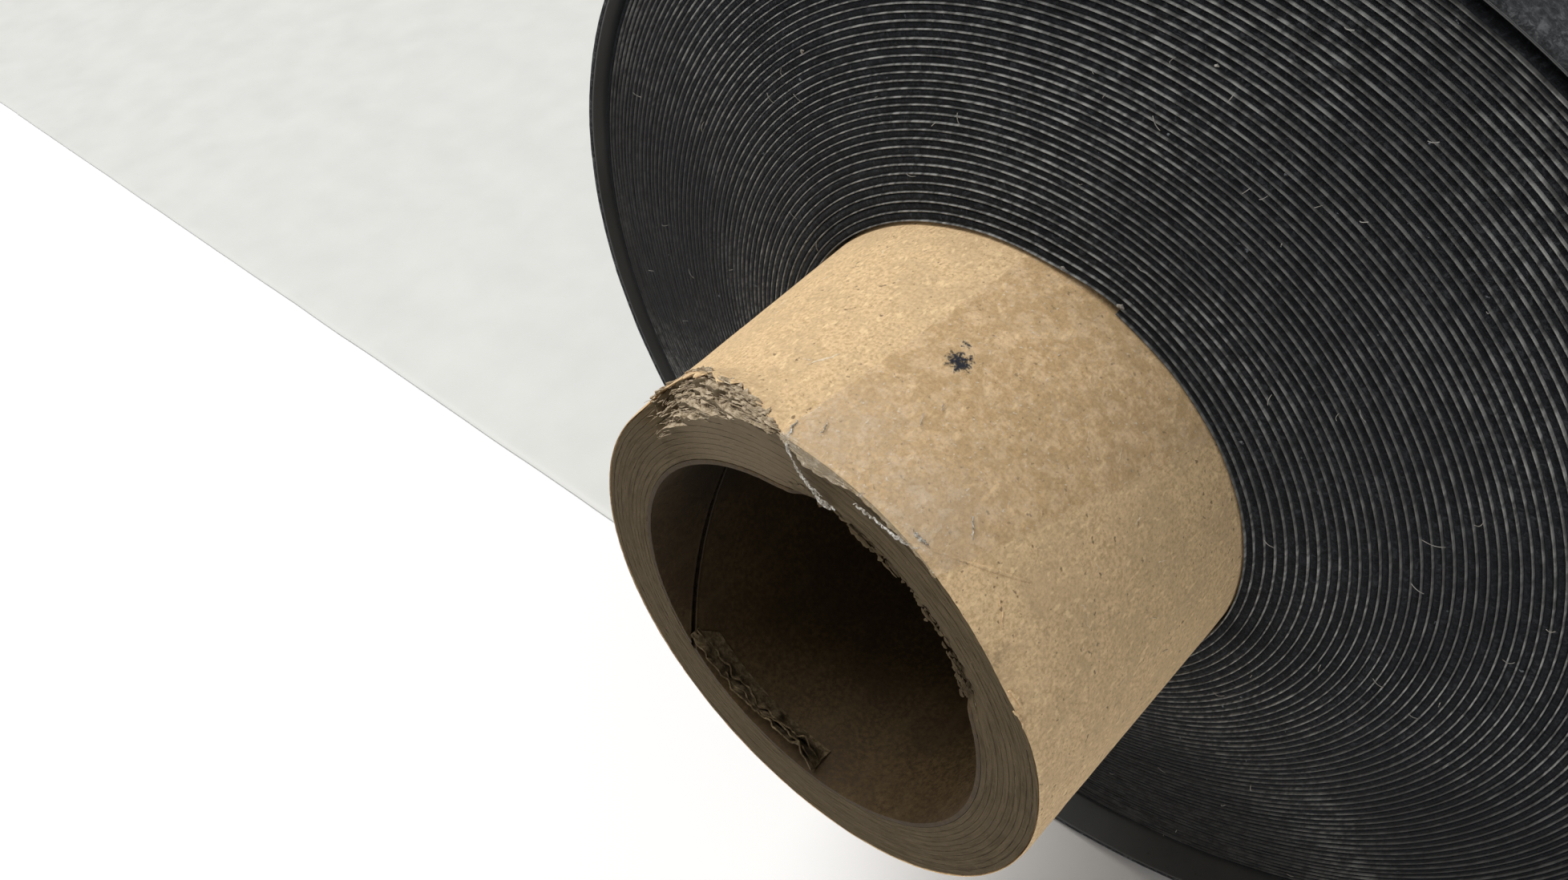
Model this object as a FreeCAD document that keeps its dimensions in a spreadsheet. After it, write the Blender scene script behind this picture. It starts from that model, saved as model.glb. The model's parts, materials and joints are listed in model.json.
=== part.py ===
"""Wide roll of laminated web on a long paper core, lying on its side with its free tail paid out flat.

Frame, in millimetres: the core's axis runs along Y, Z is up and the free tail runs towards -X.
The origin is on the core's axis, halfway along the core.
"""

import FreeCAD, Part
import math
import os

import Sketcher

DRIVING = {
    "CoreBoreDiameter": 76.2,
    "CoreOuterDiameter": 100.0,
    "CoreOverhang": 56.0,
    "LinerPlyThickness": 0.9,
    "WrapPlyThickness": 0.5,
    "BodyPlyCount": 10,
    "WebWidth": 400.0,
    "FilmThickness": 0.25,
    "FleeceThickness": 1.05,
    "TurnPitch": 1.362,
    "WoundTurnCount": 50,
    "TapeThickness": 0.12,
    "TapeGap": 0.08,
    "TapeArc": 38.0,
    "TapeStartAngle": 46.0,
    "TapeUnderWeb": 25.0,
    "OuterTurnRadius": 121.6,
    "OuterTurnStep": 0.7,
    "TailBaseLength": 130.0,
    "TailPanelLength": 375.0,
    "TailPanelCount": 3,
    "HingeGap": 0.5,
}

DERIVED = {
    "CoreBoreRadius": "CoreBoreDiameter / 2",
    "CoreRadius": "CoreOuterDiameter / 2",
    "CoreLength": "WebWidth + 2 * CoreOverhang",
    "BodyPlyThickness": "(CoreRadius - CoreBoreRadius - LinerPlyThickness - WrapPlyThickness) / BodyPlyCount",
    "WebThickness": "FilmThickness + FleeceThickness",
    "WoundInnerRadius": "CoreRadius + TapeThickness + TapeGap",
    "WoundRadius": "WoundInnerRadius + WoundTurnCount * TurnPitch",
    "FilmOuterRadius": "OuterTurnRadius - FleeceThickness",
    "FilmInnerRadius": "OuterTurnRadius - WebThickness",
    "TapeLength": "CoreOverhang + TapeUnderWeb",
}

doc = FreeCAD.newDocument("laminated_web_roll")
sheet = doc.addObject("Spreadsheet::Sheet", "Dimensions")
parts = []


def fill_sheet():
    """One row per dimension: its name in column A and its value or formula, with an alias, in column B."""
    rows = [(name, str(value)) for name, value in DRIVING.items()]
    rows += [(name, "=" + formula) for name, formula in DERIVED.items()]
    for row, (name, value) in enumerate(rows, start=1):
        sheet.set(f"A{row}", name)
        sheet.set(f"B{row}", value)
        sheet.setAlias(f"B{row}", name)
        doc.recompute()


def size(name):
    return float(sheet.get(name))


def bind(thing, prop, formula):
    """Tie a property to the sheet; dimension names in the formula stand for cells of the sheet."""
    for name in sorted(list(DRIVING) + list(DERIVED), key=len, reverse=True):
        formula = formula.replace(f"<{name}>", f"Dimensions.{name}")
    thing.setExpression(prop, formula)


def plane_of(body, role):
    return next(f for f in body.Origin.OriginFeatures if f.Role == role)


def named_part(thing, label):
    thing.Label = label
    parts.append(thing)
    return thing


def section_sketch(body, name):
    """A sketch across the core's axis: its x is the part's X and its y is the part's Z."""
    sketch = body.newObject("Sketcher::SketchObject", name)
    sketch.AttachmentSupport = (plane_of(body, "XZ_Plane"), [""])
    sketch.MapMode = "FlatFace"
    return sketch


def pad_both_ways(body, sketch, length):
    """A pad of the whole length, centred on the sketch."""
    pad = body.newObject("PartDesign::Pad", sketch.Name + "_pad")
    pad.Profile = sketch
    pad.SideType = "Symmetric"
    bind(pad, "Length", length)
    return pad


def tube(label, inner, outer, length):
    """A tube about the core's axis, centred on the origin; inner and outer are formulas for its radii."""
    body = doc.addObject("PartDesign::Body", label)
    sketch = section_sketch(body, label + "_section")
    for index, formula in enumerate((inner, outer)):
        circle = Part.Circle(FreeCAD.Vector(0, 0, 0), FreeCAD.Vector(0, 0, 1), 10 + index)
        sketch.addGeometry(circle)
        sketch.addConstraint(Sketcher.Constraint("Coincident", index, 3, -1, 1))
        radius = sketch.addConstraint(Sketcher.Constraint("Radius", index, 10 + index))
        bind(sketch, f"Constraints[{radius}]", formula)
    pad_both_ways(body, sketch, length)
    return named_part(body, label)


def core_plies():
    """Liner ply, body plies and kraft wrap, wound one on another and glued into one wall."""
    tube("core_liner_ply", "<CoreBoreRadius>", "<CoreBoreRadius> + <LinerPlyThickness>", "<CoreLength>")
    for ply in range(int(size("BodyPlyCount"))):
        inner = f"<CoreBoreRadius> + <LinerPlyThickness> + {ply} * <BodyPlyThickness>"
        outer = f"<CoreBoreRadius> + <LinerPlyThickness> + {ply + 1} * <BodyPlyThickness>"
        tube(f"core_body_ply_{ply + 1:02d}", inner, outer, "<CoreLength>")
    tube("core_kraft_wrap", "<CoreRadius> - <WrapPlyThickness>", "<CoreRadius>", "<CoreLength>")


def core_tape():
    """Clear tape along the top of the near overhang; it runs on under the web and holds the web's first end."""
    skins = {"tape_outer": "<CoreRadius> + <TapeThickness>", "tape_inner": "<CoreRadius>"}
    for name, radius in skins.items():
        cylinder = doc.addObject("Part::Cylinder", name)
        bind(cylinder, "Radius", radius)
        bind(cylinder, "Height", "<TapeLength>")
        bind(cylinder, "Angle", "<TapeArc>" if name == "tape_outer" else "360")
    strip = doc.addObject("Part::Cut", "core_tape_strip")
    strip.Base = doc.getObject("tape_outer")
    strip.Tool = doc.getObject("tape_inner")
    along_core = FreeCAD.Rotation(FreeCAD.Vector(1, 0, 0), 90)
    round_core = FreeCAD.Rotation(FreeCAD.Vector(0, 0, 1), size("TapeStartAngle"))
    strip.Placement = FreeCAD.Placement(FreeCAD.Vector(0, 0, 0), along_core * round_core)
    bind(strip, "Placement.Base.y", "<TapeUnderWeb> - <WebWidth> / 2")
    named_part(strip, "core_tape_strip")


def loose_turn(label, inner, outer):
    """The last turn of one layer: a right half about the core's axis, then a left half about a centre set
    one step higher, so that its end comes round just inside its start at the bottom."""
    body = doc.addObject("PartDesign::Body", label)
    sketch = section_sketch(body, label + "_section")
    step = size("OuterTurnStep")
    axis = FreeCAD.Vector(0, 0, 1)
    halves = [(0.0, -90, 90, outer), (0.0, -90, 90, inner), (step, 90, 270, outer), (step, 90, 270, inner)]
    radii = []
    for height, start, end, name in halves:
        radius = size(name) - height
        radii.append(radius)
        circle = Part.Circle(FreeCAD.Vector(0, height, 0), axis, radius)
        sketch.addGeometry(Part.ArcOfCircle(circle, math.radians(start), math.radians(end)))
    start_z, end_z = [-r for r in radii[:2]], [step - r for r in radii[2:]]
    for levels in (start_z, end_z):
        low, high = (FreeCAD.Vector(0, z, 0) for z in levels)
        sketch.addGeometry(Part.LineSegment(low, high))
    right_out, right_in, left_out, left_in, start_line, end_line = range(6)
    first, last, centre = 1, 2, 3
    origin, upright = (-1, 1), -2
    for arc in (right_out, right_in):
        sketch.addConstraint(Sketcher.Constraint("Coincident", arc, centre, *origin))
        sketch.addConstraint(Sketcher.Constraint("PointOnObject", arc, first, upright))
        sketch.addConstraint(Sketcher.Constraint("PointOnObject", arc, last, upright))
    sketch.addConstraint(Sketcher.Constraint("Coincident", right_out, last, left_out, first))
    sketch.addConstraint(Sketcher.Constraint("Coincident", right_in, last, left_in, first))
    sketch.addConstraint(Sketcher.Constraint("Coincident", left_in, centre, left_out, centre))
    sketch.addConstraint(Sketcher.Constraint("PointOnObject", left_out, centre, upright))
    sketch.addConstraint(Sketcher.Constraint("PointOnObject", left_out, last, upright))
    sketch.addConstraint(Sketcher.Constraint("PointOnObject", left_in, last, upright))
    sketch.addConstraint(Sketcher.Constraint("Coincident", start_line, first, right_out, first))
    sketch.addConstraint(Sketcher.Constraint("Coincident", start_line, last, right_in, first))
    sketch.addConstraint(Sketcher.Constraint("Coincident", end_line, first, left_out, last))
    sketch.addConstraint(Sketcher.Constraint("Coincident", end_line, last, left_in, last))
    bound = [(right_out, f"<{outer}>"), (right_in, f"<{inner}>"), (left_out, f"<{outer}> - <OuterTurnStep>")]
    for arc, formula in bound:
        index = sketch.addConstraint(Sketcher.Constraint("Radius", arc, radii[arc]))
        bind(sketch, f"Constraints[{index}]", formula)
    pad_both_ways(body, sketch, "<WebWidth>")
    return named_part(body, label)


def flat_layer(label, right_end, length, low, thick):
    """One layer of a flat stretch of web; right_end is the formula for its end nearest the roll."""
    box = doc.addObject("Part::Box", label)
    bind(box, "Length", length)
    bind(box, "Width", "<WebWidth>")
    bind(box, "Height", thick)
    bind(box, "Placement.Base.x", f"{right_end} - ({length})")
    bind(box, "Placement.Base.y", "-<WebWidth> / 2")
    bind(box, "Placement.Base.z", low)
    return named_part(box, label)


def flat_stretch(name, right_end, length):
    """Fleece below and film above, lying on the floor that the roll stands on."""
    flat_layer(f"{name}_fleece", right_end, length, "-<OuterTurnRadius>", "<FleeceThickness>")
    flat_layer(f"{name}_film", right_end, length, "-<OuterTurnRadius> + <FleeceThickness>", "<FilmThickness>")


def tail():
    """The tail's fixed base beside the roll, then its panels, with a fold line between each and the next."""
    flat_stretch("tail_base", "0", "<TailBaseLength> - <HingeGap> / 2")
    for panel in range(int(size("TailPanelCount"))):
        right_end = f"-<TailBaseLength> - {panel} * <TailPanelLength> - <HingeGap> / 2"
        flat_stretch(f"tail_panel_{panel + 1}", right_end, "<TailPanelLength> - <HingeGap>")


def check_and_export():
    doc.recompute()
    for thing in doc.Objects:
        if "Invalid" in thing.State or "Error" in thing.State:
            raise RuntimeError(f"{thing.Label} is {thing.State}")
    os.makedirs("parts", exist_ok=True)
    for thing in parts:
        shape = thing.Shape
        if shape.isNull() or not shape.isValid() or shape.Volume <= 0:
            raise RuntimeError(f"{thing.Label} has no sound shape")
        shape.exportStep(f"parts/{thing.Label}.step")
        box = shape.BoundBox
        print(f"{thing.Label:24s} {shape.Volume / 1000:10.2f} cm3  X {box.XMin:9.2f} {box.XMax:8.2f}"
              f"  Y {box.YMin:8.2f} {box.YMax:8.2f}  Z {box.ZMin:8.2f} {box.ZMax:8.2f}")


fill_sheet()
core_plies()
core_tape()
tube("wound_web", "<WoundInnerRadius>", "<WoundRadius>", "<WebWidth>")
loose_turn("outer_turn_fleece", "FilmOuterRadius", "OuterTurnRadius")
loose_turn("outer_turn_film", "FilmInnerRadius", "FilmOuterRadius")
tail()
check_and_export()
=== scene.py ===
"""Looks for a wide roll of laminated web on a long paper core, lying on its side with its free tail paid out flat.

Lengths are in millimetres until a mesh is made. Angles round the core are in degrees, from +X towards +Z, so 90 is
the top. "Out" is the distance out from the plane of the roll's near face, towards -Y.
"""

import json
import math

import bpy
import numpy as np
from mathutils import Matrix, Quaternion, Vector


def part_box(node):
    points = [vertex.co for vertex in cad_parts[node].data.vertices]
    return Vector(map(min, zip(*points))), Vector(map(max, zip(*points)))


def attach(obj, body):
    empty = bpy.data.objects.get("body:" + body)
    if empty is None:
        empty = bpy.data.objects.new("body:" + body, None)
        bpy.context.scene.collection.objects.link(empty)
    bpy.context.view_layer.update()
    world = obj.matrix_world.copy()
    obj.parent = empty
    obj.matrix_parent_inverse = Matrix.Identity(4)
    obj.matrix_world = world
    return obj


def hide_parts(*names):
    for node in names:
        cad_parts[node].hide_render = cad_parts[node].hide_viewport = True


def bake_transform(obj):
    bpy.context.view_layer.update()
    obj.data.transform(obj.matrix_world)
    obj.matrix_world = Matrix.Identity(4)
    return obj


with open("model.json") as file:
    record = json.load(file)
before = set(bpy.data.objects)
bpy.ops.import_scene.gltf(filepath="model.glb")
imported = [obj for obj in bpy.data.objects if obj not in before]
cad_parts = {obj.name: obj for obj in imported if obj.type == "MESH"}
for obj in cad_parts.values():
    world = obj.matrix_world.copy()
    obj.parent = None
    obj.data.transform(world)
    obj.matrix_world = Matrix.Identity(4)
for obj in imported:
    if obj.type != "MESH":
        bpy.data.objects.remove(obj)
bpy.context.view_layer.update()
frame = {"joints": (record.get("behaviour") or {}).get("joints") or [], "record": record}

MM = 0.001


def node_box(name):
    """A CAD node's lowest and highest corner in millimetres."""
    low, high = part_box(name)
    return np.array(low) / MM, np.array(high) / MM


# ---------------------------------------------------------------- sizes, from the frame
BORE_R = next(m for m in frame["record"]["mounts"] if m["name"] == "core_bore")["dims"]["r_mm"]
LINER_R = node_box("core_liner_ply")[1][0]
CORE_R = node_box("core_kraft_wrap")[1][0]
WRAP_IN = node_box("core_body_ply_10")[1][0]
CORE_END = node_box("core_kraft_wrap")[1][1]
FACE = node_box("wound_web")[1][1]
WOUND_R = node_box("wound_web")[1][0]
TURN_R = node_box("outer_turn_fleece")[1][0]
FLOOR = node_box("tail_base_fleece")[0][2]
FLEECE_TOP = node_box("tail_base_fleece")[1][2]
FILM_TOP = node_box("tail_base_film")[1][2]
FLEECE_T = FLEECE_TOP - FLOOR
FILM_T = FILM_TOP - FLEECE_TOP
TURN_STEP = TURN_R + node_box("outer_turn_fleece")[0][0]
TAIL_END = node_box("tail_panel_3_fleece")[0][0]
HINGES = [j["pos_m"][0] / MM for j in frame["joints"] if j["name"].startswith("tail")]
FLAT_BEND = 34.0
TAU = 2 * math.pi


# ---------------------------------------------------------------- camera
CAMERA_AT = (101.8, -339.8, 177.6)
LOOK_LEFT, LOOK_DOWN, ROLL = 54.1, 41.5, -13.3
LENS, SENSOR, SHIFT = 28.7, 36.0, (0.0562, -0.0267)
camera_data = bpy.data.cameras.new("camera")
camera = bpy.data.objects.new("camera", camera_data)
bpy.context.scene.collection.objects.link(camera)
left, down = math.radians(LOOK_LEFT), math.radians(LOOK_DOWN)
look = Vector((-math.sin(left) * math.cos(down), math.cos(left) * math.cos(down), -math.sin(down)))
camera.location = Vector(CAMERA_AT) * MM
camera.rotation_mode = "QUATERNION"
camera.rotation_quaternion = look.to_track_quat("-Z", "Y") @ Quaternion((0, 0, 1), math.radians(ROLL))
camera_data.lens, camera_data.sensor_width = LENS, SENSOR
camera_data.shift_x, camera_data.shift_y = SHIFT
camera_data.clip_start, camera_data.clip_end = 0.01, 60.0
bpy.context.scene.camera = camera


# ---------------------------------------------------------------- small mathematics
def ease(low, high, x):
    """0 below low, 1 above high and smooth between."""
    t = np.clip((np.asarray(x, float) - low) / (high - low), 0, 1)
    return t * t * (3 - 2 * t)


def hump(middle, width, x):
    return np.exp(-(((np.asarray(x, float) - middle) / width) ** 2))


def lattice(u, v, seed, wrap=None):
    """Smooth noise from -1 to 1 over a unit grid; wrap makes it repeat along u."""
    table = np.random.default_rng(seed).uniform(-1, 1, (257, 257))
    u, v = np.broadcast_arrays(np.asarray(u, float), np.asarray(v, float))
    iu, iv = np.floor(u).astype(int), np.floor(v).astype(int)
    fu, fv = u - iu, v - iv
    fu, fv = fu * fu * (3 - 2 * fu), fv * fv * (3 - 2 * fv)
    turn = wrap or 257
    u0, u1 = iu % turn % 257, (iu + 1) % turn % 257
    v0, v1 = iv % 257, (iv + 1) % 257
    low = table[u0, v0] * (1 - fu) + table[u1, v0] * fu
    high = table[u0, v1] * (1 - fu) + table[u1, v1] * fu
    return low * (1 - fv) + high * fv


def round_noise(degrees, cells, v, seed):
    """Noise round the core, with that many cells in a turn (at most 250)."""
    return lattice(np.asarray(degrees, float) / 360 * cells, v, seed, cells)


# ---------------------------------------------------------------- meshes
def grid_quads(rows, cols, close_rows, close_cols):
    i = np.arange(rows if close_rows else rows - 1)
    j = np.arange(cols if close_cols else cols - 1)
    i, j = np.meshgrid(i, j, indexing="ij")
    i2, j2 = (i + 1) % rows, (j + 1) % cols
    quads = np.stack([i * cols + j, i2 * cols + j, i2 * cols + j2, i * cols + j2], -1)
    return quads.reshape(-1, 4)


def volume_sign(points, quads):
    a, b, c, d = (points[quads[:, k]] for k in range(4))
    return np.einsum("ij,ij->i", a, np.cross(b, c)).sum() + np.einsum("ij,ij->i", a, np.cross(c, d)).sum()


def make_piece(name, points, quads, body, slot, materials, caps=(), face_slots=None, sharp=40.0, ride=True):
    """A mesh object from points in millimetres, quads and a few caps with many corners."""
    points = np.asarray(points, float).reshape(-1, 3)
    centred = points - points.mean(0)
    if volume_sign(centred, quads) < 0:
        quads = quads[:, ::-1]
        caps = [cap[::-1] for cap in caps]
    mesh = bpy.data.meshes.new(name)
    mesh.vertices.add(len(points))
    mesh.vertices.foreach_set("co", (points * MM).astype(np.float32).ravel())
    corners = np.concatenate([quads.ravel()] + [np.asarray(cap, int) for cap in caps]) if len(caps) else quads.ravel()
    starts = list(np.arange(len(quads)) * 4)
    at = len(quads) * 4
    for cap in caps:
        starts.append(at)
        at += len(cap)
    mesh.loops.add(len(corners))
    mesh.loops.foreach_set("vertex_index", corners.astype(np.int32))
    mesh.polygons.add(len(starts))
    mesh.polygons.foreach_set("loop_start", np.array(starts, np.int32))
    mesh.polygons.foreach_set("use_smooth", np.ones(len(starts), bool))
    for one in materials if isinstance(materials, (list, tuple)) else [materials]:
        mesh.materials.append(one)
    if face_slots is not None:
        full = np.zeros(len(starts), np.int32)
        full[: len(face_slots)] = face_slots
        mesh.polygons.foreach_set("material_index", full)
    mesh.update(calc_edges=True)
    mesh.validate()
    mesh.set_sharp_from_angle(angle=math.radians(sharp))
    piece = bpy.data.objects.new(name, mesh)
    bpy.context.scene.collection.objects.link(piece)
    if ride:
        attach(piece, body)
    return piece


def ring_loft(name, columns, body, slot, materials, **more):
    """A closed profile carried round a closed path: columns has each point of the profile at every station."""
    points = np.stack(columns, 1)
    return make_piece(name, points, grid_quads(*points.shape[:2], True, True), body, slot, materials, **more)


def open_loft(name, columns, body, slot, materials, **more):
    """The same along an open path, with both ends capped."""
    points = np.stack(columns, 1)
    rows, cols = points.shape[:2]
    last = (rows - 1) * cols
    caps = [list(range(cols)), [last + cols - 1 - k for k in range(cols)]]
    quads = grid_quads(rows, cols, False, True)
    return make_piece(name, points, quads, body, slot, materials, caps=caps, **more)


class Scraps:
    """Collects many small closed shells, which end up as one piece."""

    def __init__(self):
        self.points, self.quads, self.count = [], [], 0

    def shell(self, sheet, thick):
        """A thin closed shell of that thickness about an open grid of points (rows, cols, 3)."""
        rows, cols = sheet.shape[:2]
        along = np.gradient(sheet, axis=0)
        across = np.gradient(sheet, axis=1)
        normal = np.cross(along, across)
        normal /= np.maximum(np.linalg.norm(normal, axis=-1, keepdims=True), 1e-9)
        thick = np.broadcast_to(np.asarray(thick, float), (rows, cols))[..., None]
        top, bottom = sheet + normal * thick / 2, sheet - normal * thick / 2
        half = rows * cols
        upper = grid_quads(rows, cols, False, False)
        lower = upper[:, ::-1] + half
        rim = [(0, j) for j in range(cols)] + [(i, cols - 1) for i in range(1, rows)]
        rim += [(rows - 1, j) for j in range(cols - 2, -1, -1)] + [(i, 0) for i in range(rows - 2, 0, -1)]
        rim = np.array([i * cols + j for i, j in rim])
        after = np.roll(rim, -1)
        sides = np.stack([rim, after, after + half, rim + half], -1)
        points = np.concatenate([top.reshape(-1, 3), bottom.reshape(-1, 3)])
        quads = np.concatenate([upper, lower, sides])
        self.add(points, quads)

    def rod(self, path, radii, sides=6, flat=1.0, up=None):
        """A closed tapering rod along a path; flat below 1 presses it against the direction up."""
        path = np.asarray(path, float)
        along = np.gradient(path, axis=0)
        along /= np.maximum(np.linalg.norm(along, axis=1, keepdims=True), 1e-9)
        up = np.broadcast_to(np.asarray(up if up is not None else (0.0, 0.0, 1.0), float), path.shape)
        side = np.cross(along, up)
        side /= np.maximum(np.linalg.norm(side, axis=1, keepdims=True), 1e-9)
        lift = np.cross(side, along)
        turn = np.arange(sides) * TAU / sides
        radii = np.asarray(radii, float)
        points = (
            path[:, None]
            + side[:, None] * (np.cos(turn) * radii[:, None])[..., None]
            + lift[:, None] * (np.sin(turn) * radii[:, None] * flat)[..., None]
        )
        rows = len(path)
        quads = grid_quads(rows, sides, False, True)
        first, last = np.arange(sides), (rows - 1) * sides + np.arange(sides)
        half = sides // 2
        ends = []
        for ring in (first[::-1], last):
            for k in range(half - 1):
                ends.append([ring[k], ring[k + 1], ring[sides - 2 - k], ring[sides - 1 - k]])
        quads = np.concatenate([quads, np.array(ends)])
        self.add(points.reshape(-1, 3), quads)

    def add(self, points, quads):
        if volume_sign(points - points.mean(0), quads) < 0:
            quads = quads[:, ::-1]
        self.points.append(points)
        self.quads.append(quads + self.count)
        self.count += len(points)

    def piece(self, name, body, slot, material, **more):
        points, quads = np.concatenate(self.points), np.concatenate(self.quads)
        return make_piece(name, points, quads, body, slot, material, **more)


# ---------------------------------------------------------------- materials
class Graph:
    """Short names for the shader nodes of one material."""

    def __init__(self, name):
        self.material = bpy.data.materials.new(name)
        self.material.use_nodes = True
        self.tree = self.material.node_tree
        self.shader = self.tree.nodes["Principled BSDF"]
        self.object = self.node("ShaderNodeTexCoord").outputs["Object"]

    def node(self, kind, **settings):
        made = self.tree.nodes.new(kind)
        for key, value in settings.items():
            setattr(made, key, value)
        return made

    def put(self, socket, value):
        if isinstance(value, bpy.types.NodeSocket):
            self.tree.links.new(value, socket)
        else:
            socket.default_value = value

    def set(self, **values):
        names = {"color": "Base Color", "rough": "Roughness", "normal": "Normal", "sheen": "Sheen Weight",
                 "sheen_rough": "Sheen Roughness", "sheen_tint": "Sheen Tint", "specular": "Specular IOR Level",
                 "alpha": "Alpha"}
        for key, value in values.items():
            self.put(self.shader.inputs[names[key]], value)
        return self.material

    def maths(self, kind, *values):
        made = self.node("ShaderNodeMath", operation=kind)
        for socket, value in zip(made.inputs, values):
            self.put(socket, value)
        return made.outputs[0]

    def times(self, a, b):
        return self.maths("MULTIPLY", a, b)

    def plus(self, a, b):
        return self.maths("ADD", a, b)

    def most(self, a, b):
        return self.maths("MAXIMUM", a, b)

    def stretched(self, scale):
        made = self.node("ShaderNodeVectorMath", operation="MULTIPLY")
        self.put(made.inputs[0], self.object)
        made.inputs[1].default_value = scale
        return made.outputs[0]

    def noise(self, scale, detail=4.0, rough=0.6, vector=None, distort=0.0):
        """Fractal noise, along the object's own coordinates unless a vector is given."""
        made = self.node("ShaderNodeTexNoise")
        self.put(made.inputs["Vector"], vector or self.object)
        for key, value in (("Scale", scale), ("Detail", detail), ("Roughness", rough), ("Distortion", distort)):
            made.inputs[key].default_value = value
        return made.outputs["Fac"]

    def spread(self, value, low, high, to_low=0.0, to_high=1.0):
        made = self.node("ShaderNodeMapRange", interpolation_type="SMOOTHSTEP")
        for key, number in (("From Min", low), ("From Max", high), ("To Min", to_low), ("To Max", to_high)):
            self.put(made.inputs[key], number)
        self.put(made.inputs["Value"], value)
        return made.outputs["Result"]

    def ramp(self, value, *stops):
        made = self.node("ShaderNodeValToRGB")
        self.put(made.inputs["Fac"], value)
        elements = made.color_ramp.elements
        while len(elements) < len(stops):
            elements.new(0.5)
        for element, (at, color) in zip(elements, stops):
            element.position = at
            element.color = (*color, 1.0)
        return made.outputs["Color"]

    def mix(self, factor, a, b):
        made = self.node("ShaderNodeMix", data_type="RGBA")
        self.put(made.inputs["Factor"], factor)
        for key, value in (("A", a), ("B", b)):
            socket = [s for s in made.inputs if s.name == key and s.type == "RGBA"][0]
            self.put(socket, (*value, 1.0) if isinstance(value, tuple) and len(value) == 3 else value)
        return [s for s in made.outputs if s.type == "RGBA"][0]

    def layer(self, base, value, low, high, amount, color):
        """Lays a colour over base, by up to amount, as value goes from low to high."""
        return self.mix(self.spread(value, low, high, 0.0, amount), base, color)

    def bump(self, height, strength, distance, normal=None):
        made = self.node("ShaderNodeBump")
        self.put(made.inputs["Height"], height)
        made.inputs["Strength"].default_value = strength
        made.inputs["Distance"].default_value = distance * MM
        if normal is not None:
            self.put(made.inputs["Normal"], normal)
        return made.outputs["Normal"]

    def polar(self, radial, turning, along):
        """A vector of distance from the core's axis, angle round it and distance along it, each scaled."""
        parts = self.node("ShaderNodeSeparateXYZ")
        self.put(parts.inputs[0], self.object)
        x, y, z = parts.outputs
        radius = self.maths("SQRT", self.plus(self.times(x, x), self.times(z, z)))
        angle = self.maths("ARCTAN2", z, x)
        made = self.node("ShaderNodeCombineXYZ")
        self.put(made.inputs[0], self.times(radius, radial))
        self.put(made.inputs[1], self.times(angle, turning))
        self.put(made.inputs[2], self.times(y, along))
        return made.outputs[0]

    def near(self, spot, reach):
        """1 at a point given in millimetres, fading to 0 at reach."""
        made = self.node("ShaderNodeVectorMath", operation="DISTANCE")
        self.put(made.inputs[0], self.object)
        made.inputs[1].default_value = [v * MM for v in spot]
        return self.spread(made.outputs["Value"], 0.0, reach * MM, 1.0, 0.0)


def on_core(degrees, out, radius=CORE_R):
    """A point on the plain core surface, in millimetres."""
    a = math.radians(degrees)
    return (radius * math.cos(a), -FACE - out, radius * math.sin(a))


def scaled(color, amount):
    return tuple(min(1.0, c * amount) for c in color)


def kraft_paper(name, light, dark, fleck):
    """Brown wrapping paper: cloudy pulp, crossed fibres, dark shives and pale fibre ends."""
    g = Graph(name)
    cloud = g.noise(150, 3, 0.55)
    pulp = g.noise(1600, 6, 0.68)
    fibre = g.noise(2300, 5, 0.7, g.stretched((1.0, 0.28, 1.0)), 0.6)
    base = g.ramp(pulp, (0.39, dark), (0.50, light), (0.61, scaled(light, 1.13)))
    base = g.layer(base, cloud, 0.42, 0.62, 0.38, scaled(light, 0.80))
    base = g.layer(base, fibre, 0.54, 0.66, 0.50, scaled(dark, 0.74))
    base = g.layer(base, g.noise(900, 2, 0.5), 0.67, 0.73, 0.75, fleck)
    ends = g.noise(1300, 2, 0.4, g.stretched((1.0, 0.5, 1.0)))
    base = g.layer(base, ends, 0.60, 0.70, 0.55, scaled(light, 1.40))
    return g, base, pulp, fibre


def ink_dots(g):
    """The dotted blue-black smudge beside the middle of the tape."""
    ink = g.most(g.near(on_core(75.6, 26.2), 4.2), g.near(on_core(77.2, 22.8), 2.6))
    return g.spread(g.plus(ink, g.times(g.noise(1000, 4, 0.75), 2.4)), 1.62, 1.80)


def wrap_material():
    g, base, pulp, fibre = kraft_paper(
        "kraft_wrap_paper", light=(0.755, 0.540, 0.305), dark=(0.59, 0.400, 0.205), fleck=(0.17, 0.11, 0.06)
    )
    base = g.mix(ink_dots(g), base, (0.022, 0.024, 0.036))
    grime = g.most(g.near(on_core(36, 55.5), 6.0), g.near(on_core(24, 58), 5.0))
    grime = g.times(grime, g.spread(g.noise(420, 5, 0.7), 0.42, 0.62, 0.0, 0.8))
    base = g.mix(grime, base, (0.23, 0.15, 0.08))
    scuff = g.spread(g.noise(260, 5, 0.6, g.stretched((1.0, 2.2, 1.0))), 0.54, 0.70, 0.0, 0.28)
    base = g.mix(scuff, base, (0.42, 0.30, 0.18))
    rough = g.spread(pulp, 0.2, 0.8, 0.72, 0.92)
    normal = g.bump(pulp, 0.35, 0.22, g.bump(fibre, 0.30, 0.14))
    return g.set(color=base, rough=rough, normal=normal, specular=0.25)


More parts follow.
